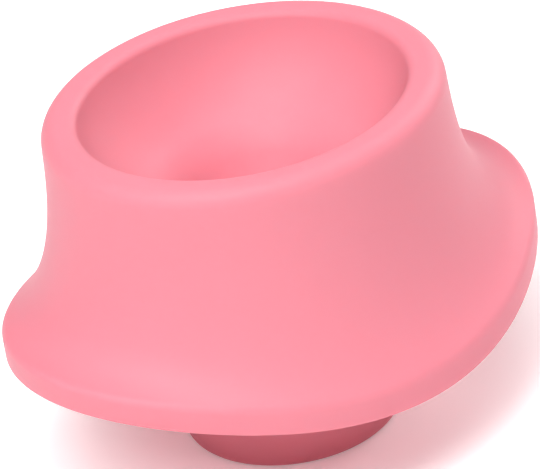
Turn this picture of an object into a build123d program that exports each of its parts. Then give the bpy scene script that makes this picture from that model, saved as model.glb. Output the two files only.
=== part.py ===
from build123d import *
from math import asin, cos, hypot, pi, sin, sqrt
import os

# A soft suction head: an oval mouth with a thick lip, a wall that flares into an oval
# saddle-shaped flange, and a round stem below that pushes into a handpiece.
# Millimetres. The origin is the centre of the stem's end face, +Z leaves through the mouth
# and +X runs along the flange.

# ---- driving dimensions ----
# flange
flange_length = 36.0
flange_width = 30.6
flange_thickness = 1.75
saddle_radius = 41.3        # the flange bends down at its sides about an axis along X
corner_trim = 0.0285        # share by which the oval runs inside an ellipse at its corners
# cup
mouth_length = 21.1
mouth_width = 19.8
lip_width = 2.1
cup_height = 11.2           # lip above the flange's top face at its ends
bowl_depth = 5.85
funnel_flare = 2.0          # the bowl's foot is wider than the throat by this much
funnel_round = 4.0
lip_outer_round = 1.0
lip_inner_round = 0.4
# wall between the lip and the flange, as the four-point curve that it follows
wall_hold = 0.95            # height share at which the upright part is aimed
wall_lean = 0.05            # how far that part leans outward, as a share of the flare
wall_tuck = 0.08            # how far the foot is drawn in before it flares
# stem
stem_length = 11.6          # end face up to the flange's top face at its ends
stem_wall = 1.45            # soft wall round the core
stem_end_round = 0.5
shoulder_height = 1.95      # the shoulder that stops the stem, below the flange's underside
shoulder_step = 0.3
shoulder_root_round = 1.2
# stiffening core moulded into the stem
core_bore_radius = 3.6
core_wall = 1.8
core_lead_in = 0.3
collar_width = 2.4
collar_thickness = 1.4
collar_cover = 1.15         # soft material between the flange's underside and the collar
collar_below_top = 1.0      # the tube stands this far above its collar
collar_notches = 6
collar_notch_radius = 0.9
# overlap and spare length
core_cover = 0.4            # the soft throat covers the core's top edge by this much
run_past = 0.5              # guide ovals and cutting shapes run past the model by this much
# where the guide ovals are taken: shares of the cup's height, the rim's drop and the bowl
cup_guides = (1, 0.85, 0.7, 0.55, 0.4, 0.27, 0.16, 0.07)
rim_guides = (0.1, 0.35, 0.65, 0.9)
bowl_guides = (-0.1, 0, 0.25, 0.5, 0.75, 1)
outline_points = 24
search_steps = 50

# ---- levels and radii that follow ----
flange_top = stem_length
flange_bottom = flange_top - flange_thickness
lip_top = flange_top + cup_height
funnel_top = lip_top - bowl_depth
throat_radius = core_bore_radius - core_cover
funnel_radius = throat_radius + funnel_flare
core_radius = core_bore_radius + core_wall
collar_radius = core_radius + collar_width
stem_radius = core_radius + stem_wall
shoulder_radius = stem_radius + shoulder_step
shoulder_bottom = flange_bottom - shoulder_height
collar_bottom = flange_bottom + collar_cover
core_length = collar_bottom + collar_thickness + collar_below_top
# the bowl is a dish of circular section between the funnel and a mouth of mean radius
mean_mouth = (mouth_length + mouth_width) / 4
dish_rise = (mean_mouth**2 - funnel_radius**2 - bowl_depth**2) / (2 * bowl_depth)
dish_radius = hypot(mean_mouth, dish_rise)


def side_drop(y):
    """How far the saddle has bent down at the distance y from its ridge."""
    return saddle_radius - sqrt(saddle_radius**2 - y**2)


def flange_edge(turn):
    """The flange's edge in plan at an angle, as (x, y)."""
    trim = 1 - corner_trim * sin(2 * turn) ** 2
    return flange_length / 2 * cos(turn) * trim, flange_width / 2 * sin(turn) * trim


def where(falling, level, low, high):
    """The value between low and high at which a falling function passes a level."""
    for _ in range(search_steps):
        middle = (low + high) / 2
        if falling(middle) > level:
            low = middle
        else:
            high = middle
    return middle


def wall_curve(share, mouth, flange, drops):
    """Reach and level of the wall in the plane along (drops False) or across the flange."""
    rest = 1 - share
    flare = share**3 + 3 * share * rest * (rest * wall_lean - share * wall_tuck)
    rise = cup_height * rest**2 * (rest + 3 * share * wall_hold)
    reach = (1 - flare) * (mouth / 2 + lip_width) + flare * flange / 2
    return reach, flange_top + rise - flare * side_drop(reach) * drops


def wall_reach(level, mouth, flange, drops):
    share = where(lambda share: wall_curve(share, mouth, flange, drops)[1], level, 0, 1)
    return wall_curve(share, mouth, flange, drops)[0]


def wall_oval(level):
    """Half length and half width of the wall's level section."""
    wide = wall_reach(level, mouth_width, flange_width, True)
    if level > flange_top:
        return wall_reach(level, mouth_length, flange_length, False), wide
    # below the flange's ends the oval passes through the flange's edge on the saddle
    turn = where(lambda turn: -side_drop(flange_edge(turn)[1]), level - flange_top, 0, pi / 2)
    x, y = flange_edge(turn)
    return x / sqrt(1 - (y / wide) ** 2), wide


def bowl_oval(share):
    """Half length, half width and level of the bowl: share 0 is the mouth, 1 the funnel."""
    start = asin(dish_rise / dish_radius)
    sweep = asin((dish_rise + bowl_depth) / dish_radius) - start
    reach = dish_radius * cos(start + share * sweep) - funnel_radius
    spread = reach / (mean_mouth - funnel_radius)
    level = lip_top + dish_rise - dish_radius * sin(start + share * sweep)
    half_length = funnel_radius + spread * (mouth_length / 2 - funnel_radius)
    half_width = funnel_radius + spread * (mouth_width / 2 - funnel_radius)
    return half_length, half_width, level


# ---- stiffening core: a tube with a notched collar that the soft wall grips ----
with BuildSketch(Plane.XY.offset(collar_bottom)) as collar:
    Circle(collar_radius)
    with PolarLocations(collar_radius, collar_notches):
        Circle(collar_notch_radius, mode=Mode.SUBTRACT)

with BuildPart() as stem_core:
    with BuildSketch():
        Circle(core_radius)
    extrude(amount=core_length)
    extrude(collar.sketch, amount=collar_thickness)
    with BuildSketch():
        Circle(core_bore_radius)
    extrude(amount=core_length, mode=Mode.SUBTRACT)
    bore_mouth = stem_core.edges().group_by(Axis.Z)[0].sort_by(SortBy.RADIUS)[0]
    chamfer(bore_mouth, core_lead_in)

# ---- soft cup: lip, flaring wall, saddle flange and the sleeve round the stem ----
rim_drop = side_drop(flange_width / 2)
rim_low = flange_bottom - rim_drop
wall_levels = [flange_top + cup_height * rise for rise in cup_guides]
wall_levels += [flange_top - rim_drop * fall for fall in rim_guides]
wall_ovals = [(*wall_oval(level), level) for level in wall_levels]
# one more oval, in line with the last two, carries the wall below the rim
upper, lower = wall_ovals[-2:]
low_end = rim_low - run_past
onward = (low_end - lower[2]) / (lower[2] - upper[2])
wall_ovals.append(tuple(last + onward * (last - before) for before, last in zip(upper, lower)))

with BuildPart() as silicone_cup:
    for half_length, half_width, level in wall_ovals:
        with BuildSketch(Plane.XY.offset(level)):
            Ellipse(half_length, half_width)
    loft()
    # the flange's outline, then its hollow underside
    with BuildSketch(Plane.XY.offset(rim_low)):
        with BuildLine():
            turns = [2 * pi * index / outline_points for index in range(outline_points)]
            Spline(*[flange_edge(turn) for turn in turns], periodic=True)
        make_face()
    extrude(amount=lip_top + run_past - rim_low, mode=Mode.INTERSECT)
    with BuildSketch(Plane.YZ):
        with Locations((0, flange_bottom - saddle_radius)):
            Circle(saddle_radius)
    extrude(amount=flange_length, both=True, mode=Mode.SUBTRACT)
    # the shoulder under the flange and the sleeve of the stem
    with BuildSketch(Plane.XY.offset(shoulder_bottom)):
        Circle(shoulder_radius)
    extrude(amount=flange_top - shoulder_bottom)
    fillet(silicone_cup.edges(Select.LAST).sort_by(Axis.Z)[-1], shoulder_root_round)
    with BuildSketch():
        Circle(stem_radius)
    extrude(amount=flange_top)
    stem_edge = silicone_cup.edges().group_by(Axis.Z)[0]
    fillet(stem_edge, stem_end_round)
    # the bowl and the funnel below it
    for share in bowl_guides:
        half_length, half_width, level = bowl_oval(share)
        with BuildSketch(Plane.XY.offset(level)):
            Ellipse(half_length, half_width)
    loft(mode=Mode.SUBTRACT)
    with BuildSketch(Plane.XY.offset(core_length)):
        Circle(throat_radius)
    with BuildSketch(Plane.XY.offset(funnel_top)):
        Circle(funnel_radius)
    loft(mode=Mode.SUBTRACT)
    fillet(silicone_cup.edges().sort_by_distance((0, funnel_radius, funnel_top))[0], funnel_round)
    # the core's seat
    with BuildSketch():
        Circle(core_radius)
    extrude(amount=core_length, mode=Mode.SUBTRACT)
    extrude(collar.sketch, amount=collar_thickness, mode=Mode.SUBTRACT)
    # the rounded lip
    lip_edges = silicone_cup.edges().group_by(Axis.Z)[-1].sort_by(SortBy.LENGTH)
    fillet(lip_edges[0], lip_inner_round)
    lip_edges = silicone_cup.edges().group_by(Axis.Z)[-1].sort_by(SortBy.LENGTH)
    fillet(lip_edges[-1], lip_outer_round)

# ---- export ----
os.makedirs("parts", exist_ok=True)
silicone_cup.part.label = "silicone_cup"
stem_core.part.label = "stem_core"
export_step(silicone_cup.part, "parts/silicone_cup.step")
export_step(stem_core.part, "parts/stem_core.step")
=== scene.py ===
"""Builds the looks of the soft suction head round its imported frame."""

from collections import namedtuple
from math import asin, atan2, cos, hypot, pi, radians, sin, sqrt

import bmesh
import bpy
from mathutils import Matrix, Vector


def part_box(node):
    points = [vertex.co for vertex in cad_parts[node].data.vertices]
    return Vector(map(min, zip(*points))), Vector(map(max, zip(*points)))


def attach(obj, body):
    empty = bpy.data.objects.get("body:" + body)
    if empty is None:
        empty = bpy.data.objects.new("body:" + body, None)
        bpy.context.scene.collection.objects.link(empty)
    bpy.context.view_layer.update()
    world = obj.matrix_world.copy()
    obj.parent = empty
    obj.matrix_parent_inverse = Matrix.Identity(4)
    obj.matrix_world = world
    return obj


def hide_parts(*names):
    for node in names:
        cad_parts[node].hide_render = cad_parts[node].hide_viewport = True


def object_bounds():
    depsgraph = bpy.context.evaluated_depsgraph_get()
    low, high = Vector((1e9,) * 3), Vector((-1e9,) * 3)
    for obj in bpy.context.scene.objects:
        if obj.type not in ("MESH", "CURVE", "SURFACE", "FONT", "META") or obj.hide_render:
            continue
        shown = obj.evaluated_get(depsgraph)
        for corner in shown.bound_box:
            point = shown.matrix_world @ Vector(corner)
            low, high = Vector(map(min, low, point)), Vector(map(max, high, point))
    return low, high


bl_info = {
    "name": "Soft suction head",
    "version": (1, 0, 0),
    "blender": (4, 5, 0),
    "location": "3D View > Sidebar > Suction Head",
    "description": "Builds a soft silicone suction head, its stiffening core and its studio",
    "category": "Object",
}

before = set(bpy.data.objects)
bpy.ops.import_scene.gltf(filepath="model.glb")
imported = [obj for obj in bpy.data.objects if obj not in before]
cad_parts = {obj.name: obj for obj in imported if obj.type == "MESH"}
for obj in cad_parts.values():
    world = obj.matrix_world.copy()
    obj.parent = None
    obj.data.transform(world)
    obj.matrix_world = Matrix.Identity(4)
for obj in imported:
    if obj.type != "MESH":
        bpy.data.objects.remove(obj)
FRAME_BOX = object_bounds()
CUP_LOW, CUP_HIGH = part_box("silicone_cup")
CORE_LOW, CORE_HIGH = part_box("stem_core")
BODY = "root"

# how finely the shapes are cut
TURN_STEPS = 192
WALL_STEPS = 20
BOWL_STEPS = 16
UNDERSIDE_STEPS = 6
STEM_STEPS = 4
# rings left out beside the funnel and below the lip, to make room for their roundings
FUNNEL_GAP = 4
WALL_START = 0.2
# facets across each rounded edge
FUNNEL_FACETS = 10
LIP_OUTER_FACETS = 9
LIP_INNER_FACETS = 5
RIM_FACETS = 5
ROOT_FACETS = 6
STEM_FACETS = 5
SMALL_FACETS = 3
# how close two corners, or a corner and a circle, have to be to count as the same
SAME_PLACE = 1e-6
SAME_RADIUS = 1e-5
# edges that turn more sharply than this are shaded as hard
HARD_EDGE = radians(45)

# the stage
FLOOR_HALF_SIZE = 0.4
SOFTBOX_DISTANCE = 0.60

# a level ring of the cup: an oval that blends into the flange's outline by its flare, and
# bends down with the saddle by its bend
Ring = namedtuple("Ring", "half_length half_width level flare bend")


def length(name, description, default):
    return bpy.props.FloatProperty(
        name=name, description=description, default=default, min=0, precision=5, unit="LENGTH"
    )


def share(name, description, default):
    return bpy.props.FloatProperty(
        name=name, description=description, default=default, min=0, max=1, subtype="FACTOR"
    )


def colour(name, description, default):
    return bpy.props.FloatVectorProperty(
        name=name, description=description, default=default, min=0, max=1, size=3, subtype="COLOR"
    )


def angle(name, description, default):
    return bpy.props.FloatProperty(
        name=name, description=description, default=radians(default), unit="ROTATION"
    )


# ---- what a user may set ----


class CupSettings(bpy.types.PropertyGroup):
    """Sizes and colour of the soft cup."""

    flange_thickness: length("Flange thickness", "Height of the flange's rim band", 0.00175)
    saddle_radius: length("Saddle radius", "Radius to which the flange's sides bend down", 0.0413)
    corner_trim: share("Corner trim", "How far the flange's oval runs inside an ellipse", 0.0285)
    mouth_length: length("Mouth length", "Inner length of the mouth", 0.0211)
    mouth_width: length("Mouth width", "Inner width of the mouth", 0.0198)
    lip_width: length("Lip width", "Thickness of the lip", 0.0021)
    lip_outer_round: length("Outer lip rounding", "Rounding of the lip's outer edge", 0.0010)
    lip_inner_round: length("Inner lip rounding", "Rounding of the lip's inner edge", 0.0004)
    cup_height: length("Cup height", "Lip above the flange's ends", 0.0112)
    bowl_depth: length("Bowl depth", "Depth of the bowl down to its funnel", 0.00585)
    funnel_radius: length("Funnel radius", "Where the bowl turns down into the throat", 0.0052)
    funnel_round: length("Funnel rounding", "How far that turn's rounding reaches", 0.00115)
    core_cover: length("Core cover", "How far the throat covers the core's top edge", 0.0004)
    wall_hold: share("Wall hold", "Height at which the wall's upright part is aimed", 0.95)
    wall_lean: share("Wall lean", "How far the upright part leans outward", 0.05)
    wall_tuck: share("Wall tuck", "How far the wall's foot is drawn in", 0.08)
    rim_round: length("Rim rounding", "Rounding of the rim band's upper edge", 0.00035)
    rim_crease: length("Rim crease", "Rounding of the rim band's lower edge", 0.00012)
    stem_radius: length("Stem radius", "Radius of the push-in stem", 0.00685)
    stem_round: length("Stem rounding", "Rounding of the stem's end", 0.0005)
    shoulder_height: length("Shoulder height", "Shoulder below the flange's underside", 0.00195)
    shoulder_step: length("Shoulder step", "How far the shoulder stands out from the stem", 0.0003)
    shoulder_round: length("Shoulder rounding", "Rounding of the shoulder's lower edge", 0.00012)
    root_round: length("Root rounding", "Rounding where the shoulder meets the flange", 0.0012)
    silicone: colour("Silicone", "Colour of the silicone", (0.69, 0.213, 0.264))


class CoreSettings(bpy.types.PropertyGroup):
    """Sizes and colour of the stiffening core."""

    bore_radius: length("Bore radius", "Radius of the air passage", 0.0036)
    core_radius: length("Core radius", "Radius of the core's tube", 0.0054)
    collar_thickness: length("Collar thickness", "Thickness of the holding collar", 0.0014)
    collar_below_top: length("Collar below top", "Tube above the collar", 0.0010)
    notches: bpy.props.IntProperty(
        name="Notches", description="Notches round the collar", default=6, min=1
    )
    notch_radius: length("Notch radius", "Radius of each notch", 0.0009)
    lead_in: length("Lead-in", "Rounding of the bore's lower edge", 0.0003)
    edge_round: length("Edge rounding", "Rounding of the tube's upper edges", 0.0002)
    plastic: colour("Plastic", "Colour of the core's plastic", (0.80, 0.42, 0.46))


class StudioSettings(bpy.types.PropertyGroup):
    """Camera, light and floor."""

    azimuth: angle("Azimuth", "Direction that the camera looks from", -33.3)
    elevation: angle("Elevation", "Height angle of the camera", 29.6)
    roll: angle("Roll", "How far the camera is tipped", 9.44)
    distance: length("Distance", "Camera to the flange's centre", 0.343)
    lens: bpy.props.FloatProperty(
        name="Lens", description="Focal length of the camera", default=370.4, subtype="DISTANCE_CAMERA"
    )
    aim_right: length("Aim right", "How far right of the flange's centre the camera aims", 0.00015)
    aim_up: length("Aim up", "How far above the flange's centre the camera aims", 0.00099)
    floor: colour("Floor", "Colour of the floor", (0.95, 0.95, 0.95))
    glow: bpy.props.FloatProperty(
        name="Glow", description="Light that the floor gives off from below", default=0.2, min=0
    )
    surround: bpy.props.FloatProperty(
        name="Surround", description="Strength of the surround overhead", default=0.03, min=0
    )
    horizon: bpy.props.FloatProperty(
        name="Horizon", description="Strength of the pale band round the horizon", default=1.0, min=0
    )
    horizon_low: angle("Horizon low", "Height up to which the pale band is full", 1)
    horizon_high: angle("Horizon high", "Height at which the pale band has faded", 4)


# ---- shapes ----


def side_drop(cup, y):
    """How far the saddle has bent down at the distance y from its ridge."""
    return cup.saddle_radius - sqrt(cup.saddle_radius**2 - y**2)


def flange_edge(cup, turn):
    """The flange's edge in plan at an angle, as (x, y)."""
    trim = 1 - cup.corner_trim * sin(2 * turn) ** 2
    return CUP_HIGH.x * cos(turn) * trim, CUP_HIGH.y * sin(turn) * trim


def bowl_rings(cup, throat_radius):
    """The throat's funnel and the bowl up to the mouth, a dish of circular section."""
    funnel = cup.funnel_radius
    mean_mouth = (cup.mouth_length + cup.mouth_width) / 4
    rise = (mean_mouth**2 - funnel**2 - cup.bowl_depth**2) / (2 * cup.bowl_depth)
    radius = hypot(mean_mouth, rise)
    start = asin(rise / radius)
    sweep = asin((rise + cup.bowl_depth) / radius) - start
    rings = [round_ring(throat_radius, CORE_HIGH.z)]
    # the rings next to the funnel are left out, to make room for the funnel's rounding
    for step in (BOWL_STEPS, *range(BOWL_STEPS - FUNNEL_GAP, -1, -1)):
        at = start + sweep * step / BOWL_STEPS
        spread = (radius * cos(at) - funnel) / (mean_mouth - funnel)
        half_length = funnel + spread * (cup.mouth_length / 2 - funnel)
        half_width = funnel + spread * (cup.mouth_width / 2 - funnel)
        rings.append(Ring(half_length, half_width, CUP_HIGH.z + rise - radius * sin(at), 0, 0))
    return rings


def wall_rings(cup, flange_top):
    """The outer wall from the lip down to the flange's edge, as a four-point curve."""
    half_length = cup.mouth_length / 2 + cup.lip_width
    half_width = cup.mouth_width / 2 + cup.lip_width
    rings = [Ring(half_length, half_width, CUP_HIGH.z, 0, 0)]
    for step in range(WALL_STEPS + 1):
        along = WALL_START + (1 - WALL_START) * step / WALL_STEPS
        rest = 1 - along
        flare = along**3 + 3 * along * rest * (rest * cup.wall_lean - along * cup.wall_tuck)
        rise = cup.cup_height * rest**2 * (rest + 3 * along * cup.wall_hold)
        rings.append(Ring(half_length, half_width, flange_top + rise, flare, flare))
    return rings


def underside_rings(cup, flange_bottom):
    """The hollow underside from the rim's lower edge in to the stem's shoulder."""
    shoulder = cup.stem_radius + cup.shoulder_step
    shares = [1 - step / UNDERSIDE_STEPS for step in range(UNDERSIDE_STEPS + 1)]
    return [Ring(shoulder, shoulder, flange_bottom, flare, 1) for flare in shares]


def round_ring(radius, level):
    """A level circle, with no share of the flange's outline or of the saddle."""
    return Ring(radius, radius, level, 0, 0)


def cup_rings(cup, core):
    """Every ring of the cup's closed section, and the rings whose edges are rounded."""
    flange_top = CUP_HIGH.z - cup.cup_height
    flange_bottom = flange_top - cup.flange_thickness
    throat_radius = core.bore_radius - cup.core_cover
    collar_top = CORE_HIGH.z - core.collar_below_top
    collar_bottom = collar_top - core.collar_thickness
    shoulder_bottom = flange_bottom - cup.shoulder_height
    stem_levels = [shoulder_bottom * (1 - step / STEM_STEPS) for step in range(STEM_STEPS + 1)]

    rings = bowl_rings(cup, throat_radius)
    rounds = {1: (cup.funnel_round, FUNNEL_FACETS)}
    rounds[len(rings) - 1] = (cup.lip_inner_round, LIP_INNER_FACETS)
    rounds[len(rings)] = (cup.lip_outer_round, LIP_OUTER_FACETS)
    rings += wall_rings(cup, flange_top)
    rounds[len(rings) - 1] = (cup.rim_round, RIM_FACETS)
    rounds[len(rings)] = (cup.rim_crease, SMALL_FACETS)
    rings += underside_rings(cup, flange_bottom)
    rounds[len(rings) - 1] = (cup.root_round, ROOT_FACETS)
    rounds[len(rings)] = (cup.shoulder_round, SMALL_FACETS)
    rings.append(round_ring(cup.stem_radius + cup.shoulder_step, shoulder_bottom))
    rings += [round_ring(cup.stem_radius, level) for level in stem_levels]
    rounds[len(rings) - 1] = (cup.stem_round, STEM_FACETS)
    # the core's seat, with room for its collar, and back to the throat
    rings += [round_ring(core.core_radius, level) for level in (CUP_LOW.z, collar_bottom)]
    rings += [round_ring(CORE_HIGH.y, level) for level in (collar_bottom, collar_top)]
    rings += [round_ring(core.core_radius, level) for level in (collar_top, CORE_HIGH.z)]
    rings.append(rings[0])
    return rings, rounds


def ring_tube(cup, rings, rounds):
    """A closed hollow form: a tube of unit rings, each then set in its own place."""
    form = bmesh.new()
    bmesh.ops.create_circle(form, segments=TURN_STEPS, radius=1)
    edges = form.edges[:]
    for _ in rings[1:]:
        made = bmesh.ops.extrude_edge_only(form, edges=edges)["geom"]
        fresh = {item for item in made if isinstance(item, bmesh.types.BMVert)}
        made_edges = [item for item in made if isinstance(item, bmesh.types.BMEdge)]
        edges = [edge for edge in made_edges if fresh.issuperset(edge.verts)]
        bmesh.ops.translate(form, verts=list(fresh), vec=(0, 0, 1))
    loops = [[] for _ in rings]
    for edge in form.edges:
        first, second = (round(corner.co.z) for corner in edge.verts)
        if first == second:
            loops[first].append(edge)
    for corner in form.verts:
        ring = rings[round(corner.co.z)]
        turn = atan2(corner.co.y, corner.co.x)
        edge_x, edge_y = flange_edge(cup, turn)
        x = (1 - ring.flare) * ring.half_length * cos(turn) + ring.flare * edge_x
        y = (1 - ring.flare) * ring.half_width * sin(turn) + ring.flare * edge_y
        corner.co = (x, y, ring.level - ring.bend * side_drop(cup, y))
    # the last ring is the first one again, so this closes the tube
    bmesh.ops.remove_doubles(form, verts=form.verts, dist=SAME_PLACE)
    for number, (width, segments) in rounds.items():
        round_edges(form, loops[number], width, segments)
    return form


def round_edges(form, edges, width, segments):
    """Rounds edges to a width, in that many facets."""
    bmesh.ops.bevel(
        form, geom=edges, offset=width, offset_type="OFFSET", segments=segments, profile=0.5,
        affect="EDGES", material=-1, clamp_overlap=True,
    )


def core_form(core):
    """The core's tube with its notched collar, spun round Z from its section."""
    form = bmesh.new()
    tube, bore, collar = core.core_radius, core.bore_radius, CORE_HIGH.y
    collar_top = CORE_HIGH.z - core.collar_below_top
    collar_bottom = collar_top - core.collar_thickness
    section = [(bore, CORE_LOW.z), (tube, CORE_LOW.z), (tube, collar_bottom), (collar, collar_bottom)]
    section += [(collar, collar_top), (tube, collar_top), (tube, CORE_HIGH.z), (bore, CORE_HIGH.z)]
    corners = [form.verts.new((reach, 0, level)) for reach, level in section]
    edges = [form.edges.new((first, second)) for first, second in zip(corners, corners[1:] + corners[:1])]
    bmesh.ops.spin(
        form, geom=corners + edges, cent=(0, 0, 0), axis=(0, 0, 1), angle=2 * pi, steps=TURN_STEPS,
        use_merge=True,
    )
    bmesh.ops.recalc_face_normals(form, faces=form.faces)
    cut_notches(form, core, collar)
    lead_in = [edge for edge in form.edges if is_rim(edge, bore, CORE_LOW.z)]
    round_edges(form, lead_in, core.lead_in, SMALL_FACETS)
    top = CORE_HIGH.z
    top_edges = [edge for edge in form.edges if is_rim(edge, tube, top) or is_rim(edge, bore, top)]
    round_edges(form, top_edges, core.edge_round, SMALL_FACETS)
    return form


def is_rim(edge, radius, level):
    """True for an edge of the circle of that radius at that level."""
    return all(
        abs(corner.co.z - level) < SAME_PLACE and abs(corner.co.xy.length - radius) < SAME_RADIUS
        for corner in edge.verts
    )


def cut_notches(form, core, collar):
    """Draws the collar's rim in where a round notch crosses it."""
    spacing = 2 * pi / core.notches
    for corner in form.verts:
        if abs(corner.co.xy.length - collar) > SAME_RADIUS:
            continue
        turn = atan2(corner.co.y, corner.co.x)
        off_centre = collar * abs(turn - spacing * round(turn / spacing))
        if off_centre < core.notch_radius:
            depth = sqrt(core.notch_radius**2 - off_centre**2)
            corner.co.xy *= (collar - depth) / collar


# ---- finishes ----


def finish(name):
    """A new material, its nodes and its shader."""
    material = bpy.data.materials.new(name)
    material.use_nodes = True
    nodes = material.node_tree.nodes
    return material, nodes, material.node_tree.links, nodes["Principled BSDF"]


def noise(nodes, links, place, scale, detail):
    """A cloudy pattern fixed to the piece."""
    texture = nodes.new("ShaderNodeTexNoise")
    texture.inputs["Scale"].default_value = scale
    texture.inputs["Detail"].default_value = detail
    links.new(place.outputs["Object"], texture.inputs["Vector"])
    return texture.outputs["Fac"]


def shade_range(nodes, links, factor, low, high):
    """A mix between two colours by a factor."""
    mix = nodes.new("ShaderNodeMix")
    mix.data_type = "RGBA"
    links.new(factor, mix.inputs["Factor"])
    mix.inputs["A"].default_value = (*low, 1)
    mix.inputs["B"].default_value = (*high, 1)
    return mix.outputs["Result"]


def number_range(nodes, links, factor, low, high):
    """A factor spread between two numbers."""
    spread = nodes.new("ShaderNodeMapRange")
    links.new(factor, spread.inputs["Value"])
    spread.inputs["To Min"].default_value = low
    spread.inputs["To Max"].default_value = high
    return spread.outputs["Result"]


def bump(nodes, links, height, strength, distance, base=None):
    """A relief from a height pattern, over another relief where one is given."""
    relief = nodes.new("ShaderNodeBump")
    relief.inputs["Strength"].default_value = strength
    relief.inputs["Distance"].default_value = distance
    links.new(height, relief.inputs["Height"])
    if base is not None:
        links.new(base, relief.inputs["Normal"])
    return relief.outputs["Normal"]


def tone(colour_value, factor):
    """The colour made lighter or darker."""
    return tuple(min(1, part * factor) for part in colour_value)


def silicone_finish(colour_value):
    """Matt silicone: soft light inside, a silky skin and the faint grain of its mould."""
    material, nodes, links, shader = finish("matt_silicone")
    place = nodes.new("ShaderNodeTexCoord")
    clouds = noise(nodes, links, place, scale=140, detail=2)
    tint = shade_range(nodes, links, clouds, tone(colour_value, 0.985), tone(colour_value, 1.015))
    links.new(tint, shader.inputs["Base Color"])
    grain = noise(nodes, links, place, scale=9000, detail=3)
    links.new(number_range(nodes, links, grain, low=0.46, high=0.54), shader.inputs["Roughness"])
    waves = noise(nodes, links, place, scale=420, detail=1)
    swell = bump(nodes, links, waves, strength=0.12, distance=0.00004)
    skin = bump(nodes, links, grain, strength=0.15, distance=0.000004, base=swell)
    links.new(skin, shader.inputs["Normal"])
    shader.inputs["IOR"].default_value = 1.41
    shader.inputs["Specular IOR Level"].default_value = 0.25
    shader.inputs["Subsurface Weight"].default_value = 0.2
    shader.inputs["Subsurface Radius"].default_value = (1.0, 0.3, 0.25)
    shader.inputs["Subsurface Scale"].default_value = 0.0012
    return material


def plastic_finish(colour_value):
    """Satin moulded plastic with a fine eroded grain."""
    material, nodes, links, shader = finish("satin_plastic")
    place = nodes.new("ShaderNodeTexCoord")
    clouds = noise(nodes, links, place, scale=260, detail=2)
    tint = shade_range(nodes, links, clouds, tone(colour_value, 0.96), tone(colour_value, 1.03))
    links.new(tint, shader.inputs["Base Color"])
    grain = noise(nodes, links, place, scale=5000, detail=3)
    links.new(number_range(nodes, links, grain, low=0.32, high=0.46), shader.inputs["Roughness"])
    skin = bump(nodes, links, grain, strength=0.2, distance=0.00001)
    links.new(skin, shader.inputs["Normal"])
    shader.inputs["IOR"].default_value = 1.5
    return material


def floor_finish(colour_value, glow):
    """Pale matt studio floor, faintly lit from below like a light table."""
    material, nodes, links, shader = finish("pale_floor")
    place = nodes.new("ShaderNodeTexCoord")
    clouds = noise(nodes, links, place, scale=3, detail=2)
    tint = shade_range(nodes, links, clouds, tone(colour_value, 0.995), tone(colour_value, 1.005))
    links.new(tint, shader.inputs["Base Color"])
    shader.inputs["Roughness"].default_value = 0.9
    shader.inputs["Specular IOR Level"].default_value = 0.1
    shader.inputs["Emission Color"].default_value = (1, 1, 1, 1)
    shader.inputs["Emission Strength"].default_value = glow
    return material


# ---- pieces and stage ----


def place_piece(form, name, material, node):
    """Makes the form a smooth piece that stands for its CAD node."""
    bmesh.ops.recalc_face_normals(form, faces=form.faces)
    for face in form.faces:
        face.smooth = True
    for edge in form.edges:
        edge.smooth = edge.calc_face_angle(0) < HARD_EDGE
    data = bpy.data.meshes.new(name)
    form.to_mesh(data)
    form.free()
    data.materials.append(material)
    piece = bpy.data.objects.new(name, data)
    bpy.context.collection.objects.link(piece)
    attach(piece, BODY)
    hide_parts(node)


class HEAD_OT_build_cup(bpy.types.Operator):
    """Builds the soft cup with its lip, wall, flange and stem"""

    bl_idname = "suction_head.build_cup"
    bl_label = "Build Soft Cup"

    def execute(self, context):
        cup = context.scene.head_cup
        rings, rounds = cup_rings(cup, context.scene.head_core)
        form = ring_tube(cup, rings, rounds)
        place_piece(form, "soft_cup", silicone_finish(cup.silicone), "silicone_cup")
        return {"FINISHED"}


class HEAD_OT_build_core(bpy.types.Operator):
    """Builds the stiffening core inside the stem"""

    bl_idname = "suction_head.build_core"
    bl_label = "Build Stem Core"

    def execute(self, context):
        core = context.scene.head_core
        place_piece(core_form(core), "core_sleeve", plastic_finish(core.plastic), "stem_core")
        return {"FINISHED"}


class HEAD_OT_build_studio(bpy.types.Operator):
    """Builds the floor, the soft lights and the camera"""

    bl_idname = "suction_head.build_studio"
    bl_label = "Build Studio"

    def execute(self, context):
        studio = context.scene.head_studio
        build_floor(studio)
        build_surround(studio)
        centre = Vector((0, 0, CUP_HIGH.z - context.scene.head_cup.cup_height))
        add_softbox("key_light", centre, radians(-68), radians(58), size=0.40, power=4.1)
        add_softbox("top_light", centre, radians(0), radians(75), size=0.40, power=2.1)
        add_softbox("rim_light", centre, radians(102), radians(27), size=0.36, power=1.9)
        build_camera(studio, centre)
        return {"FINISHED"}


def build_floor(studio):
    """The pale floor, level with the stem's end."""
    form = bmesh.new()
    bmesh.ops.create_grid(form, x_segments=1, y_segments=1, size=FLOOR_HALF_SIZE)
    bmesh.ops.translate(form, verts=form.verts, vec=(0, 0, FRAME_BOX[0].z))
    data = bpy.data.meshes.new("floor")
    form.to_mesh(data)
    form.free()
    data.materials.append(floor_finish(studio.floor, studio.glow))
    floor = bpy.data.objects.new("floor", data)
    bpy.context.collection.objects.link(floor)


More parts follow.
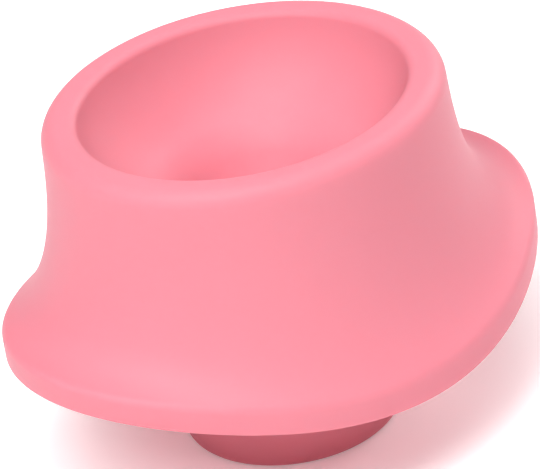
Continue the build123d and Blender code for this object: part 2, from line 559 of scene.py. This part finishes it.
def build_surround(studio):
    """A dim white surround with a pale band round the horizon, behind the floor."""
    world = bpy.data.worlds.new("surround")
    world.use_nodes = True
    nodes, links = world.node_tree.nodes, world.node_tree.links
    background = nodes["Background"]
    background.inputs["Color"].default_value = (1, 1, 1, 1)
    place = nodes.new("ShaderNodeTexCoord")
    parts = nodes.new("ShaderNodeSeparateXYZ")
    links.new(place.outputs["Generated"], parts.inputs["Vector"])
    fade = nodes.new("ShaderNodeMapRange")
    links.new(parts.outputs["Z"], fade.inputs["Value"])
    fade.inputs["From Min"].default_value = sin(studio.horizon_low)
    fade.inputs["From Max"].default_value = sin(studio.horizon_high)
    fade.inputs["To Min"].default_value = studio.horizon
    fade.inputs["To Max"].default_value = studio.surround
    links.new(fade.outputs["Result"], background.inputs["Strength"])
    bpy.context.scene.world = world


def looking_frame(azimuth, elevation):
    """Right, up and back axes of something that looks at the object from a direction."""
    back = Vector((sin(azimuth) * cos(elevation), -cos(azimuth) * cos(elevation), sin(elevation)))
    right = Vector((cos(azimuth), sin(azimuth), 0))
    return Matrix((right, back.cross(right), back)).transposed().to_4x4()


def add_softbox(name, centre, azimuth, elevation, size, power):
    """A square area light that faces the object from a direction and a height angle."""
    data = bpy.data.lights.new(name, "AREA")
    data.shape = "SQUARE"
    data.size = size
    data.energy = power
    light = bpy.data.objects.new(name, data)
    turned = looking_frame(azimuth, elevation)
    light.matrix_world = Matrix.Translation(centre + turned.col[2].xyz * SOFTBOX_DISTANCE) @ turned
    bpy.context.collection.objects.link(light)


def build_camera(studio, centre):
    """The camera, aimed a little beside the flange's centre and tipped about its own view."""
    data = bpy.data.cameras.new("camera")
    data.lens = studio.lens
    data.clip_start = 0.01
    data.clip_end = 10
    camera = bpy.data.objects.new("camera", data)
    turned = looking_frame(studio.azimuth, studio.elevation) @ Matrix.Rotation(-studio.roll, 4, "Z")
    aim = Vector((studio.aim_right, studio.aim_up, studio.distance, 0))
    camera.matrix_world = Matrix.Translation(centre + (turned @ aim).xyz) @ turned
    bpy.context.collection.objects.link(camera)
    bpy.context.scene.camera = camera
    bpy.context.scene.view_settings.view_transform = "Standard"


class HEAD_PT_panel(bpy.types.Panel):
    """Lists the builders of the suction head and their settings"""

    bl_idname = "HEAD_PT_panel"
    bl_label = "Suction Head"
    bl_space_type = "VIEW_3D"
    bl_region_type = "UI"
    bl_category = "Suction Head"

    def draw(self, context):
        for operator, settings in BUILDERS:
            box = self.layout.box()
            box.operator(operator.bl_idname)
            group = getattr(context.scene, settings)
            for name in group.bl_rna.properties.keys():
                if name not in ("rna_type", "name"):
                    box.prop(group, name)


BUILDERS = (
    (HEAD_OT_build_cup, "head_cup"),
    (HEAD_OT_build_core, "head_core"),
    (HEAD_OT_build_studio, "head_studio"),
)
SETTINGS = {"head_cup": CupSettings, "head_core": CoreSettings, "head_studio": StudioSettings}
CLASSES = (*SETTINGS.values(), *(operator for operator, _ in BUILDERS), HEAD_PT_panel)


def register():
    for item in CLASSES:
        bpy.utils.register_class(item)
    for name, group in SETTINGS.items():
        setattr(bpy.types.Scene, name, bpy.props.PointerProperty(type=group))


def unregister():
    for name in SETTINGS:
        delattr(bpy.types.Scene, name)
    for item in reversed(CLASSES):
        bpy.utils.unregister_class(item)


def main():
    register()
    bpy.ops.suction_head.build_cup()
    bpy.ops.suction_head.build_core()
    bpy.ops.suction_head.build_studio()


if __name__ == "__main__":
    main()
